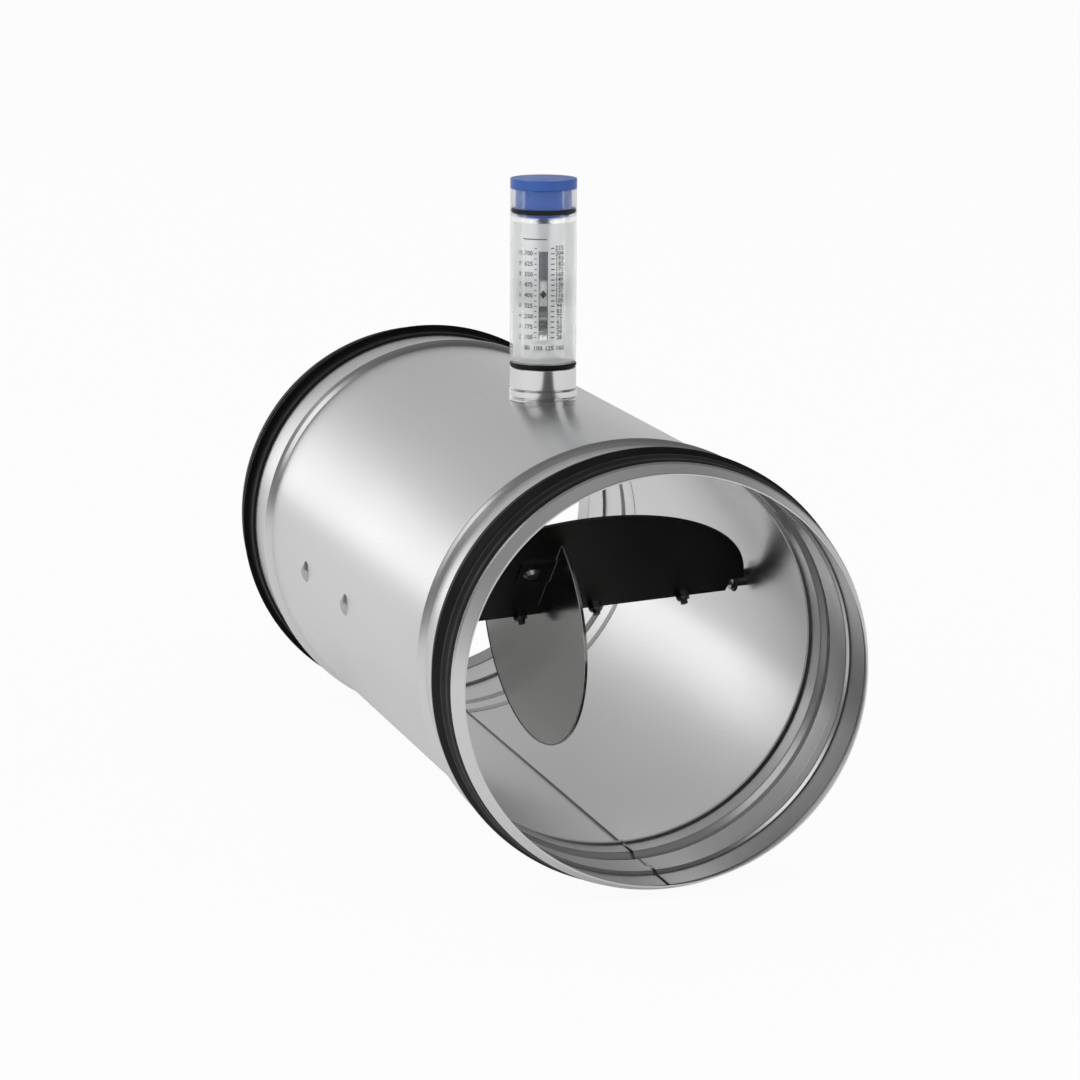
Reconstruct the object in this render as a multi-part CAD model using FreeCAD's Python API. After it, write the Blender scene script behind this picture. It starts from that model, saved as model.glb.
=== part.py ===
import FreeCAD, Part
import math
import os

# Constant airflow regulator for a round duct of 160 mm.
# The duct axis is Y, with the inlet towards -Y. The scale tube stands up along +Z.
# The origin is on the duct axis, level with the crest of the inlet seal.

V = FreeCAD.Vector
X_AXIS = V(1, 0, 0)
Y_AXIS = V(0, 1, 0)
Z_AXIS = V(0, 0, 1)

# Casing sheet
sheet = 0.7                     # galvanised sheet of shell and spigots
shell_radius = 79.7             # outside of the body shell
fine_cut = 1.0                  # how far cutting tools run past what they cut
small_bevel = 0.5

# Places along the duct, from the crest of the inlet seal
rim_end = -18.7                 # open edge of the inlet
inlet_bead = 32.9               # middle of the stop bead of the inlet
outlet_bead = 43.9              # the same at the outlet, from the crest of its seal
sleeve_reach = 17.0             # from a bead to the inner end of its spigot, inside the shell
seal_spacing = 342.8            # from the crest of one seal to the other
tube_place = 151.4              # axis of the scale tube
shaft_back = 19.0               # the shaft lies this far before the tube axis

# Spigot profile
lead_in = 8.0                   # length of the tapered lead-in at the open edge
lead_in_drop = 2.4              # the open edge is this much smaller in radius
seal_front = -10.6
seal_back = 6.4
groove_end = 15.5               # a shallow groove runs from the seal to here
groove_depth = 1.1
groove_slope = 1.2              # length of the slope at each end of the groove
bead_height = 2.4
bead_half_width = 4.2
shell_gap = 0.3                 # shell ends this far behind the bead

# Seam of the casing
seam_angle = -87.5              # degrees from +X about the duct axis, towards +Z
seam_width = 1.6
seam_height = 0.35

# Lip seals
seal_base = 1.0                 # thickness of the band on the spigot
seal_edge = 0.1                 # the band thins to this at its front edge
seal_feather = 2.5              # over this length
low_lip_root = -7.7
low_lip_height = 1.9            # crest above the spigot
high_lip_height = 3.3
lip_root = 2.8                  # thickness of a lip where it leaves the band
lip_crest = 1.2                 # and at its crest
lip_sweep = 2.1                 # a lip leans this far away from the open edge

# Scale tube and its collar
tube_radius = 13.2
tube_wall = 1.2
tube_rise = 14.3                # shoulder of the tube above the shell
tube_length = 67.4              # from the shoulder to the open end
tube_floor = 2.0                # thickness of the shoulder above the collar
tube_spigot_radius = 11.25
tube_spigot_wall = 1.1
tube_spigot_length = 8.0
collar_rise = 12.3              # end of the collar above the shell
collar_wall_clear = 0.05
collar_foot_radius = 15.4
collar_foot_rise = 2.9          # top of the foot above the shell
collar_groove_depth = 0.5
collar_groove_height = 1.0
shell_hole_radius = 10.0
o_ring_section = 1.0

# Label inside the tube
label_clear = 0.1
label_sheet = 0.25
label_rise = 4.0                # label above the shoulder of the tube
label_end_gap = 1.05            # the label ends this far below the plug of the cap
label_half_angle = 100.0        # degrees each side of the window
window_half_width = 2.3
window_margin = 5.0

# Adjusting cap, spindle and pointer nut
cap_disc_height = 5.1
cap_gap = 0.3
cap_edge = 0.6
plug_clear = 0.2
plug_taper = 1.4
plug_reach = 2.0                # the plug ends this far below its ring
ring_depth = 7.3                # upper ring below the end of the tube
spindle_radius = 3.0
spindle_rise = 12.0             # lower end of the spindle above the shoulder
running_clear = 0.05
nut_rise = 28.0                 # middle of the nut above the shoulder, at rest
nut_height = 9.5
nut_radius = 10.8
neck_length = 6.5
neck_radius = 4.0
pointer_half_width = 1.7
pointer_reach = 0.7

# Tension spring
spring_radius = 4.65            # to the middle of the wire
spring_wire = 0.45
spring_turns = 11
spring_top_grip = 0.9           # the top coil sits this far below the nut, on its neck
spring_low_grip = 1.35          # the lowest coil sits this far above the end of the plug

# Pull rod and its plug
rod_radius = 1.0
plug_height = 8.0
plug_rise = 2.3                 # plug above the shell at rest
rod_in_plug = 4.0
hook_bend = 3.0
hook_end_bend = 1.8
hook_rise = 8.5                 # the hook lies this far above the shaft at rest
hook_tip = 5.0
hook_overhang = 2.6

# Shaft, blade and balance plate
shaft_tilt = 4.0                # the shaft is turned this far about the duct axis, right end up
shaft_height = 0.5              # shaft axis above the duct axis
shaft_radius = 2.5
shaft_end_clear = 1.5           # each end stays this far inside the casing
blade_lean = 38.0               # degrees above level at rest, towards the inlet
blade_sheet = 1.0
blade_wall_gap = 2.6
blade_edge = 3.0                # the straight edge reaches this far past the shaft axis
notch_width = 8.7               # notches for the bushes, from the outside of the shell
notch_depth = 7.0
screw_places = (-52.0, -15.5, 15.5, 52.0)
screw_radius = 1.5
screw_head_radius = 2.8
screw_head_height = 2.6
screw_end_length = 2.0          # threaded end below the nut
screw_in_shaft = 1.2
plate_place = -8.0              # middle of the balance plate, beside the rod
plate_sheet = 1.2
plate_half_length = 76.0
plate_half_height = 50.0
plate_tilt = -8.0
plate_centre_back = 5.5         # ellipse centre behind the shaft axis
plate_centre_drop = 8.0         # and below it
plate_crown = 17.0              # top of the plate behind the shaft, above the shaft
plate_hub_radius = 6.0
plate_slot_play = 0.1           # on each side of the plate, in the slot of the blade
hook_slot_play = 0.35
tab_width = 14.0
tab_length = 18.0
tab_rivet_up = 37.0             # rivet of the tab, up the blade from the shaft axis
tab_rivet_side = 9.3            # and to the left of the plate
rivet_radius = 1.6
rivet_head_radius = 3.4
rivet_crown_radius = 2.2
rivet_head_height = 1.3

# Bushes, bracket and shaft clips
bush_radius = 3.3
bush_bore_clear = 0.04
bush_head_radius = 5.0
bush_head_height = 1.2
bush_depth = 6.1                # inner end of a bush, from the outside of the shell
clip_radius = 4.1
clip_sheet = 0.8
clip_gap = 0.3
bracket_sheet = 1.2
bracket_half_width = 7.0
bracket_back = 86.0             # end of the bracket behind the tube axis
bracket_rivets = (7.5, 77.7)    # rivets behind the tube axis
bracket_rivet_rise = 2.7        # and above the shaft axis
dome_radius = 4.4               # outer head of a bracket rivet
dome_rise = 1.7

# Values that follow from the ones above
casing_middle = seal_spacing / 2
high_lip_root = -lip_sweep - lip_crest / 2
shell_inner = shell_radius - sheet
shaft_place = tube_place - shaft_back
shaft_end = shell_radius - shaft_end_clear
bush_inner_end = shell_radius - bush_depth
bracket_rivet_height = shaft_height + bracket_rivet_rise
under = shaft_radius + blade_sheet
tube_bore = tube_radius - tube_wall
tube_bottom = shell_radius + tube_rise
tube_top = tube_bottom + tube_length
collar_top = shell_radius + collar_rise
cap_bottom = tube_top + cap_gap
ring_half_groove = o_ring_section + running_clear
ring_height = tube_top - ring_depth
plug_end = ring_height - ring_half_groove - plug_reach
label_bottom = tube_bottom + label_rise
label_top = plug_end - label_end_gap
nut_middle = tube_bottom + nut_rise
spindle_bottom = tube_bottom + spindle_rise
plug_bottom = shell_radius + plug_rise
far = 4 * shell_radius          # longer than any cut through the casing


def polygon_face(points):
    """Flat face inside a closed outline of straight edges."""
    corners = list(points)
    corners.append(corners[0])
    return Part.Face(Part.makePolygon(corners))


def turned_about_duct(outline):
    """Solid turned about the duct axis from (radius, place) points."""
    face = polygon_face([V(r, y, 0) for r, y in outline])
    return face.revolve(V(0, 0, 0), Y_AXIS, 360)


def turned_about_tube(outline):
    """Solid turned about the axis of the scale tube from (radius, height) points."""
    face = polygon_face([V(r, tube_place, z) for r, z in outline])
    return face.revolve(V(0, tube_place, 0), Z_AXIS, 360)


def rod_along_x(radius, x_low, x_high, y, z):
    """Round rod along X."""
    return Part.makeCylinder(radius, x_high - x_low, V(x_low, y, z), X_AXIS)


def mirrored_along_duct(shape):
    """The same shape at the other end of the casing."""
    return shape.mirror(V(0, casing_middle, 0), Y_AXIS)


def tilted(shape):
    """Turn a shape of the damper or its bearings about the duct axis, by the tilt of the shaft."""
    shape.rotate(V(0, 0, 0), Y_AXIS, -shaft_tilt)
    return shape


def in_blade_frame(shape):
    """Move a shape drawn flat to the blade: X stays, Y runs up the blade, Z points out below it."""
    turn = FreeCAD.Rotation(X_AXIS, 180 - blade_lean)
    shape.Placement = FreeCAD.Placement(V(0, shaft_place, shaft_height), turn)
    return shape


def box_between(low, high):
    """Box from its lowest to its highest corner."""
    return Part.makeBox(high[0] - low[0], high[1] - low[1], high[2] - low[2], V(*low))


# Casing

def bead_outline(bead_place):
    """Outer outline of the stop bead: a round ridge, as points on a cosine crown."""
    points = []
    steps = 8
    for i in range(steps + 1):
        share = -1 + 2 * i / steps
        rise = bead_height * 0.5 * (1 + math.cos(math.pi * share))
        points.append((shell_radius + rise, bead_place + share * bead_half_width))
    return points


def spigot(bead_place):
    """Spigot: tapered lead-in, seal seat, shallow groove, stop bead and the sleeve inside the shell."""
    groove = shell_radius - groove_depth
    outer = [(shell_radius - lead_in_drop, rim_end), (shell_radius, rim_end + lead_in),
             (shell_radius, seal_back), (groove, seal_back + groove_slope),
             (groove, groove_end - groove_slope), (shell_radius, groove_end)]
    outer += bead_outline(bead_place)
    outer[-1] = (shell_inner, bead_place + bead_half_width)
    outer.append((shell_inner, bead_place + sleeve_reach))
    inner = []
    for radius, place in reversed(outer):
        inner.append((radius - sheet, place))
    return turned_about_duct(outer + inner)


def seam_ridge(start, end):
    """Low ridge of the seam along the inside of the shell, with its foot in the wall."""
    half = math.degrees(seam_width / 2 / shell_inner)
    top = shell_inner - seam_height
    foot = shell_inner + sheet / 2
    face = polygon_face([V(top, start, 0), V(foot, start, 0), V(foot, end, 0), V(top, end, 0)])
    face.rotate(V(0, 0, 0), Y_AXIS, -seam_angle - half)
    return face.revolve(V(0, 0, 0), Y_AXIS, 2 * half)


def body_shell():
    """Round shell with the hole under the scale tube, the bush hole and the rivet holes."""
    start = inlet_bead + bead_half_width + shell_gap
    end = seal_spacing - outlet_bead - bead_half_width - shell_gap
    outside = Part.makeCylinder(shell_radius, end - start, V(0, start, 0), Y_AXIS)
    inside = Part.makeCylinder(shell_inner, end - start + 2 * fine_cut, V(0, start - fine_cut, 0), Y_AXIS)
    ridge = seam_ridge(inlet_bead + sleeve_reach, seal_spacing - outlet_bead - sleeve_reach)
    shell = outside.cut(inside).fuse(ridge)
    tools = [Part.makeCylinder(shell_hole_radius, shell_radius, V(0, tube_place, shell_inner / 2), Z_AXIS)]
    tools.append(tilted(rod_along_x(bush_radius, shell_inner / 2, far, shaft_place, shaft_height)))
    for place in bracket_rivets:
        tools.append(tilted(rod_along_x(rivet_radius, -far, -shell_inner / 2,
                                        tube_place + place, bracket_rivet_height)))
    return shell.cut(tools)


def lip_seal():
    """Rubber band on the spigot, thinned at its front edge, with two lips that lean away from it."""
    band = shell_radius + seal_base
    outline = [(shell_radius, seal_back), (shell_radius, seal_front),
               (shell_radius + seal_edge, seal_front), (band, seal_front + seal_feather)]
    for root, height in ((low_lip_root, low_lip_height), (high_lip_root, high_lip_height)):
        crest = root + lip_sweep
        outline.append((band, root))
        outline.append((shell_radius + height, crest))
        outline.append((shell_radius + height, crest + lip_crest))
        outline.append((band, root + lip_root))
    outline.append((band, seal_back))
    return turned_about_duct(outline)


# Scale tube

def tube_collar():
    """Metal neck with a saddle foot on the shell."""
    bore = tube_spigot_radius + collar_wall_clear
    foot_top = shell_radius + collar_foot_rise
    groove_bottom = foot_top + collar_groove_height
    groove = tube_radius - collar_groove_depth
    outline = [(bore, shell_inner / 2), (collar_foot_radius, shell_inner / 2),
               (collar_foot_radius, foot_top - small_bevel), (collar_foot_radius - small_bevel, foot_top),
               (groove, foot_top), (groove, groove_bottom), (tube_radius, groove_bottom + small_bevel),
               (tube_radius, collar_top), (bore, collar_top)]
    neck = turned_about_tube(outline)
    saddle = Part.makeCylinder(shell_radius, 4 * collar_foot_radius,
                               V(0, tube_place - 2 * collar_foot_radius, 0), Y_AXIS)
    return neck.cut(saddle)


def scale_tube():
    """Clear tube: a shoulder and a spigot in the collar below, an open bore above."""
    bore = tube_spigot_radius - tube_spigot_wall
    foot = tube_bottom - tube_spigot_length
    outline = [(bore, foot), (tube_spigot_radius, foot), (tube_spigot_radius, tube_bottom),
               (tube_radius, tube_bottom), (tube_radius, tube_top), (tube_bore, tube_top),
               (tube_bore, tube_bottom + tube_floor), (bore, tube_bottom + tube_floor)]
    return turned_about_tube(outline)


def ring(centre_radius, height):
    """Round rubber ring about the tube axis."""
    return Part.makeTorus(centre_radius, o_ring_section, V(0, tube_place, height), Z_AXIS)


def scale_label():
    """Curved label just inside the tube, with a window for the pointer towards the inlet."""
    outer = tube_bore - label_clear
    inner = outer - label_sheet
    start = V(0, tube_place, 0)
    face = polygon_face([V(inner, tube_place, label_bottom), V(outer, tube_place, label_bottom),
                         V(outer, tube_place, label_top), V(inner, tube_place, label_top)])
    face.rotate(start, Z_AXIS, -90 - label_half_angle)
    label = face.revolve(start, Z_AXIS, 2 * label_half_angle)
    window = box_between((-window_half_width, tube_place - 2 * tube_radius, label_bottom + window_margin),
                         (window_half_width, tube_place, label_top - window_margin))
    return label.cut(window)


def adjusting_cap():
    """Turning cap: a disc on the end of the tube and a tapered plug in its bore."""
    top = cap_bottom + cap_disc_height
    plug = tube_bore - plug_clear
    groove_low = ring_height - ring_half_groove
    groove_high = ring_height + ring_half_groove
    groove = tube_bore - 2 * ring_half_groove
    outline = [(0, plug_end), (plug - plug_taper, plug_end), (plug - plug_taper, groove_low),
               (groove, groove_low), (groove, groove_high), (plug, groove_high), (plug, cap_bottom),
               (tube_radius, cap_bottom), (tube_radius, top - cap_edge), (tube_radius - cap_edge, top),
               (0, top)]
    cap = turned_about_tube(outline)
    return cap.cut(spindle_rod())


def spindle_rod():
    """The blank of the spindle, also used to bore the cap for it."""
    length = ring_height - spindle_bottom
    return Part.makeCylinder(spindle_radius, length, V(0, tube_place, spindle_bottom), Z_AXIS)


def adjusting_spindle():
    """Threaded spindle under the cap, with a chamfered end; the fine thread is left off."""
    rod = spindle_rod()
    low = [edge for edge in rod.Edges if abs(edge.BoundBox.ZMax - spindle_bottom) < 0.01]
    return rod.makeChamfer(spindle_radius / 4, low)


def pointer_nut():
    """Nut on the spindle: a disc with a pointer in the window and a neck that carries the spring."""
    bore = spindle_radius + running_clear
    low = nut_middle - nut_height / 2
    high = nut_middle + nut_height / 2
    outline = [(bore, low - neck_length), (neck_radius, low - neck_length), (neck_radius, low),
               (nut_radius, low), (nut_radius, high), (bore, high)]
    nut = turned_about_tube(outline)
    seat = tube_place - nut_radius + pointer_reach
    nose = polygon_face([V(-pointer_half_width, seat, nut_middle), V(0, seat, low),
                         V(pointer_half_width, seat, nut_middle), V(0, seat, high)])
    diamond = nose.extrude(V(0, -2 * pointer_reach, 0))
    return nut.fuse(diamond).removeSplitter()


# Spring and pull rod

def tension_spring():
    """Coil between the neck of the pointer nut and the plug of the pull rod."""
    top = nut_middle - nut_height / 2 - spring_top_grip
    bottom = plug_bottom + spring_low_grip
    height = top - bottom
    path = Part.makeHelix(height / spring_turns, height, spring_radius)
    section = Part.Wire(Part.makeCircle(spring_wire, V(spring_radius, 0, 0), Y_AXIS))
    coil = path.makePipeShell([section], True, True)
    coil.translate(V(0, tube_place, bottom))
    return coil


def spring_plug():
    """Plug that the lower coils of the spring grip, on top of the pull rod."""
    plug = Part.makeCylinder(neck_radius, plug_height, V(0, tube_place, plug_bottom), Z_AXIS)
    start = plug_bottom - fine_cut
    hole = Part.makeCylinder(rod_radius, rod_in_plug + fine_cut, V(0, tube_place, start), Z_AXIS)
    return plug.cut(hole)


def pull_rod():
    """Wire from the plug down to the balance plate, bent across it and turned up at the end."""
    tilt = math.radians(shaft_tilt)
    level = (shaft_height + hook_rise) * math.cos(tilt) + plate_place * math.sin(tilt)
    top = plug_bottom + rod_in_plug
    past = plate_place - plate_sheet / 2 - hook_overhang
    low = hook_bend * (1 - math.sqrt(0.5))
    end_low = hook_end_bend * (1 - math.sqrt(0.5))
    corner = past - hook_end_bend
    tip = level + hook_end_bend
    edges = [Part.LineSegment(V(0, 0, top), V(0, 0, level + hook_bend)).toShape()]
    bend = Part.Arc(V(0, 0, level + hook_bend), V(-low, 0, level + low), V(-hook_bend, 0, level))
    edges.append(bend.toShape())
    edges.append(Part.LineSegment(V(-hook_bend, 0, level), V(past, 0, level)).toShape())
    end_bend = Part.Arc(V(past, 0, level), V(corner + end_low, 0, level + end_low), V(corner, 0, tip))
    edges.append(end_bend.toShape())
    edges.append(Part.LineSegment(V(corner, 0, tip), V(corner, 0, tip + hook_tip)).toShape())
    path = Part.Wire(edges)
    section = Part.Wire(Part.makeCircle(rod_radius, V(0, 0, top), Z_AXIS))
    rod = path.makePipeShell([section], True, True)
    rod.translate(V(0, tube_place, 0))
    return rod


# Blade, shaft and balance plate

def blade_shaft():
    """Shaft across the duct, with the holes of the blade screws."""
    shaft = rod_along_x(shaft_radius, -shaft_end, shaft_end, shaft_place, shaft_height)
    return tilted(shaft.cut([screw_shank(x) for x in screw_places]))


def screw_shank(x):
    """Shank of one blade screw, also used to drill for it."""
    length = under + screw_in_shaft
    return in_blade_frame(Part.makeCylinder(screw_radius, length, V(x, 0, -screw_in_shaft), Z_AXIS))


def blade_screw(x):
    """Screw from the shaft through the blade, with its nut and threaded end below."""
    nut = polygon_face(hexagon(x, screw_head_radius)).extrude(V(0, 0, screw_head_height))
    end = Part.makeCylinder(screw_radius, screw_head_height + screw_end_length, V(x, 0, under), Z_AXIS)
    return tilted(screw_shank(x).fuse([in_blade_frame(nut), in_blade_frame(end)]))


def hexagon(x, radius):
    """Corners of the nut of a blade screw, on the lower side of the blade."""
    corners = []
    for i in range(6):
        angle = math.radians(60 * i)
        corners.append(V(x + radius * math.cos(angle), radius * math.sin(angle), under))
    return corners


def damper_blade():
    """Half round blade that closes the upper half of the duct, notched for the bushes and the plate."""
    reach = shell_inner - blade_wall_gap
    centre = -shaft_height
    half = math.sqrt(reach ** 2 - (notch_depth - centre) ** 2)
    notch = shell_radius - notch_width
    corners = [V(half, notch_depth, 0), V(notch, notch_depth, 0), V(notch, -blade_edge, 0),
               V(-notch, -blade_edge, 0), V(-notch, notch_depth, 0), V(-half, notch_depth, 0)]
    edges = Part.makePolygon(corners).Edges
    rim = Part.Arc(V(-half, notch_depth, 0), V(0, centre + reach, 0), V(half, notch_depth, 0))
    edges.append(rim.toShape())
    sheet_face = Part.Face(Part.Wire(edges))
    sheet_face.translate(V(0, 0, shaft_radius))
    blade = in_blade_frame(sheet_face.extrude(V(0, 0, blade_sheet)))
    side = plate_sheet / 2 + plate_slot_play
    slot = box_between((plate_place - side, -2 * blade_edge, 0),
                       (plate_place + side, plate_hub_radius + clip_gap, 2 * under))
    tools = [in_blade_frame(slot), tab_rivet_shank()]
    for x in screw_places:
        tools.append(screw_shank(x))
    return tilted(blade.cut(tools))


def tab_rivet_shank():
    """Shank of the rivet through the blade and the tab of the plate."""
    spot = V(plate_place - tab_rivet_side, tab_rivet_up, shaft_radius)
    return in_blade_frame(Part.makeCylinder(rivet_radius, blade_sheet + plate_sheet, spot, Z_AXIS))


def plate_rivet():
    """Rivet of the tab, with a head on each side of blade and tab."""
    x = plate_place - tab_rivet_side
    below = Part.makeCone(rivet_head_radius, rivet_crown_radius, rivet_head_height,
                          V(x, tab_rivet_up, under + plate_sheet), Z_AXIS)
    above = Part.makeCone(rivet_crown_radius, rivet_head_radius, rivet_head_height,
                          V(x, tab_rivet_up, shaft_radius - rivet_head_height), Z_AXIS)
    return tilted(tab_rivet_shank().fuse([in_blade_frame(below), in_blade_frame(above)]))


def balance_plate():
    """Oval plate across the shaft, under the blade, with its tab and the slot for the hook."""
    left = plate_place - plate_sheet / 2
    centre = V(left, shaft_place + plate_centre_back, shaft_height - plate_centre_drop)
    tilt = math.radians(plate_tilt)
    long_way = V(0, math.cos(tilt), math.sin(tilt))
    tall_way = V(0, -math.sin(tilt), math.cos(tilt))
    oval = Part.Ellipse(centre + long_way * plate_half_length, centre + tall_way * plate_half_height, centre)
    plate = Part.Face(Part.Wire(oval.toShape())).extrude(V(plate_sheet, 0, 0))
    above_blade = in_blade_frame(box_between((-far, -blade_edge - clip_gap, -far), (far, far, under)))
    crown = box_between((-far, shaft_place - fine_cut, shaft_height + plate_crown), (far, far, far))
    plate = plate.cut([above_blade, crown])
    hub = rod_along_x(plate_hub_radius, left, left + plate_sheet, shaft_place, shaft_height)
    tab_start = tab_rivet_up - tab_length / 2
    tab = in_blade_frame(box_between((left - tab_width, tab_start, under),
                                     (left + plate_sheet, tab_start + tab_length, under + plate_sheet)))
    plate = plate.fuse([hub, tab]).removeSplitter()
    tools = [rod_along_x(shaft_radius, -far, far, shaft_place, shaft_height), hook_slot(), tab_rivet_shank()]
    return tilted(plate.cut(tools))


def hook_slot():
    """Slot along a ray from the shaft: the hook moves straight down while the plate turns."""
    angle = math.atan2(hook_rise, shaft_back)
    near = shaft_back
    end = math.hypot(shaft_back, hook_rise)
    half = rod_radius + hook_slot_play
    left = plate_place - plate_sheet
    length = plate_sheet * 2
    parts = []
    for radius in (near, end):
        parts.append(Part.makeCylinder(half, length, V(left, radius, 0), X_AXIS))
    parts.append(box_between((left, near, -half), (left + length, end, half)))
    slot = parts[0].fuse(parts[1:])
    slot.rotate(V(0, 0, 0), X_AXIS, math.degrees(angle))
    slot.translate(V(0, shaft_place, shaft_height))
    return slot


def shaft_clips():
    """Two retaining clips in front of the bushes."""
    clips = []
    for side in (-1, 1):
        middle = side * (bush_inner_end - clip_gap - clip_sheet / 2)
        low = middle - clip_sheet / 2
        blank = rod_along_x(clip_radius, low, low + clip_sheet, shaft_place, shaft_height)
        clips.append(tilted(blank.cut(rod_along_x(shaft_radius, -far, far, shaft_place, shaft_height))))
    return Part.makeCompound(clips)


# Bearings of the shaft

def right_bush():
    """Plastic bush through the shell, with a head outside and a blind bore for the shaft."""
    top = shell_radius + bush_head_height
    head = rod_along_x(bush_head_radius, shell_inner, top, shaft_place, shaft_height)
    head = head.cut(Part.makeCylinder(shell_radius, 2 * shaft_place, V(0, 0, 0), Y_AXIS))
    body = rod_along_x(bush_radius, bush_inner_end, top - bush_head_height / 2, shaft_place, shaft_height)
    bore = rod_along_x(shaft_radius + bush_bore_clear, bush_inner_end - fine_cut,
                       shaft_end + clip_gap, shaft_place, shaft_height)
    return tilted(body.fuse(head).cut(bore).removeSplitter())


def left_bush():
    """Plastic bush in the bracket, with its collar against the bracket."""
    wall = bracket_wall()
    body = rod_along_x(bush_radius, wall, -bush_inner_end, shaft_place, shaft_height)
    collar = rod_along_x(bush_head_radius, wall + bracket_sheet, wall + bracket_sheet + bush_head_height,
                         shaft_place, shaft_height)
    bore = rod_along_x(shaft_radius + bush_bore_clear, -far, far, shaft_place, shaft_height)
    return tilted(body.fuse(collar).cut(bore).removeSplitter())


def bracket_wall():
    """X of the bracket's outer face, where its long edges meet the shell."""
    reach = abs(shaft_height) + bracket_half_width
    return -math.sqrt(shell_inner ** 2 - reach ** 2)


def bearing_bracket():
    """Flat strip along the left wall with a round nose that holds the left bush."""
    wall = bracket_wall()
    strip = box_between((wall, shaft_place, shaft_height - bracket_half_width),
                        (wall + bracket_sheet, tube_place + bracket_back, shaft_height + bracket_half_width))
    nose = rod_along_x(bracket_half_width, wall, wall + bracket_sheet, shaft_place, shaft_height)
    bracket = strip.fuse(nose).removeSplitter()
    tools = [rod_along_x(bush_radius, -far, far, shaft_place, shaft_height)]
    for place in bracket_rivets:
        tools.append(rod_along_x(rivet_radius, -far, far, tube_place + place, bracket_rivet_height))
    return tilted(bracket.cut(tools))


def bracket_rivet(place):
    """Blind rivet through the shell and the bracket, with a domed head outside."""
    y = tube_place + place
    inner = bracket_wall() + bracket_sheet
    spot = V(inner, y, bracket_rivet_height)
    shank = rod_along_x(rivet_radius, -shell_radius, inner, y, bracket_rivet_height)
    tail = Part.makeCone(rivet_crown_radius, rivet_radius, rivet_head_height, spot, X_AXIS)
    ball = (dome_radius ** 2 + dome_rise ** 2) / (2 * dome_rise)
    dome = Part.makeSphere(ball, V(ball - dome_rise - shell_radius, y, bracket_rivet_height))
    dome = dome.common(rod_along_x(dome_radius, -far, -shell_inner, y, bracket_rivet_height))
    dome = dome.cut(Part.makeCylinder(shell_radius, far, V(0, tube_place - far / 2, 0), Y_AXIS))
    return tilted(shank.fuse([dome, tail]))


def all_nodes():
    """Every piece by its name."""
    seal = lip_seal()
    return {
        "body_shell": body_shell(),
        "inlet_spigot": spigot(inlet_bead),
        "outlet_spigot": mirrored_along_duct(spigot(outlet_bead)),
        "inlet_seal": seal,
        "outlet_seal": mirrored_along_duct(seal),
        "tube_collar": tube_collar(),
        "lower_o_ring": ring(tube_spigot_radius + ring_half_groove, (collar_top + tube_bottom) / 2),
        "scale_tube": scale_tube(),
        "scale_label": scale_label(),
        "adjusting_cap": adjusting_cap(),
        "upper_o_ring": ring(tube_bore - ring_half_groove, ring_height),
        "adjusting_spindle": adjusting_spindle(),
        "pointer_nut": pointer_nut(),
        "tension_spring": tension_spring(),
        "spring_plug": spring_plug(),
        "pull_rod": pull_rod(),
        "blade_shaft": blade_shaft(),
        "damper_blade": damper_blade(),
        "blade_screws": Part.makeCompound([blade_screw(x) for x in screw_places]),
        "balance_plate": balance_plate(),
        "plate_rivets": plate_rivet(),
        "shaft_clips": shaft_clips(),
        "right_bush": right_bush(),
        "left_bush": left_bush(),
        "bearing_bracket": bearing_bracket(),
        "bracket_rivets": Part.makeCompound([bracket_rivet(place) for place in bracket_rivets]),
    }


os.makedirs("parts", exist_ok=True)
for node, shape in all_nodes().items():
    shape.exportStep("parts/" + node + ".step")
    print(node, "solids", len(shape.Solids), "valid", shape.isValid(), "volume", round(shape.Volume, 1))
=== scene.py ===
# %% [markdown]
# # A constant airflow regulator for round ducts
# This lesson dresses a round duct section that keeps its airflow constant: a galvanised casing with
# a rubber lip seal at each end, a half-round damper blade inside, and a clear scale tube with a blue
# turning cap on top. The solid model gives every piece its size and place. We load it first.

# %% Load the frame
import math
import bpy
import bmesh
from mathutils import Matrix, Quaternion, Vector


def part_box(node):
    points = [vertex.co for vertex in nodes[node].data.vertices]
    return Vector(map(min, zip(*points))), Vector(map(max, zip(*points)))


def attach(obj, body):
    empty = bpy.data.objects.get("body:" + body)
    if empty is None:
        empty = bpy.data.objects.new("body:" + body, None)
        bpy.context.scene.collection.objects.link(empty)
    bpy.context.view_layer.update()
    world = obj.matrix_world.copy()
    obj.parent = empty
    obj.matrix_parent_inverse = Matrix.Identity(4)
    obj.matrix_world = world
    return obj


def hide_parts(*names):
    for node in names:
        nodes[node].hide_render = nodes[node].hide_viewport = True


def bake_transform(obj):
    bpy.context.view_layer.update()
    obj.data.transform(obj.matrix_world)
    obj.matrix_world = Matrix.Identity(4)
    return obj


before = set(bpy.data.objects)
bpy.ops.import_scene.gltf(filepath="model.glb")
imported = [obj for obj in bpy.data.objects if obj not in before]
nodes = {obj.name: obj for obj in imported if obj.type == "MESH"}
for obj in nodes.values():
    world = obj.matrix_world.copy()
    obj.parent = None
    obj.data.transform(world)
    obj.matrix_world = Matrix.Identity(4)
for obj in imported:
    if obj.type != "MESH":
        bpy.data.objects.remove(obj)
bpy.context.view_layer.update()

print("pieces in the frame:", len(nodes))

# %% [markdown]
# ## Sizes that come from the frame
# Every place below is read from the box of a piece, so the dressing stays on the model when a size
# changes. The duct runs along Y, the scale tube stands up along Z. The lowest 8 mm of the scale tube
# are its narrower foot, which sits in the neck.

# %% Read the main sizes
MM = 0.001
TUBE_FOOT = 8.0 * MM


def box(name):
    """The lowest and the highest corner of a piece."""
    low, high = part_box(name)
    return Vector(low), Vector(high)


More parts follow.
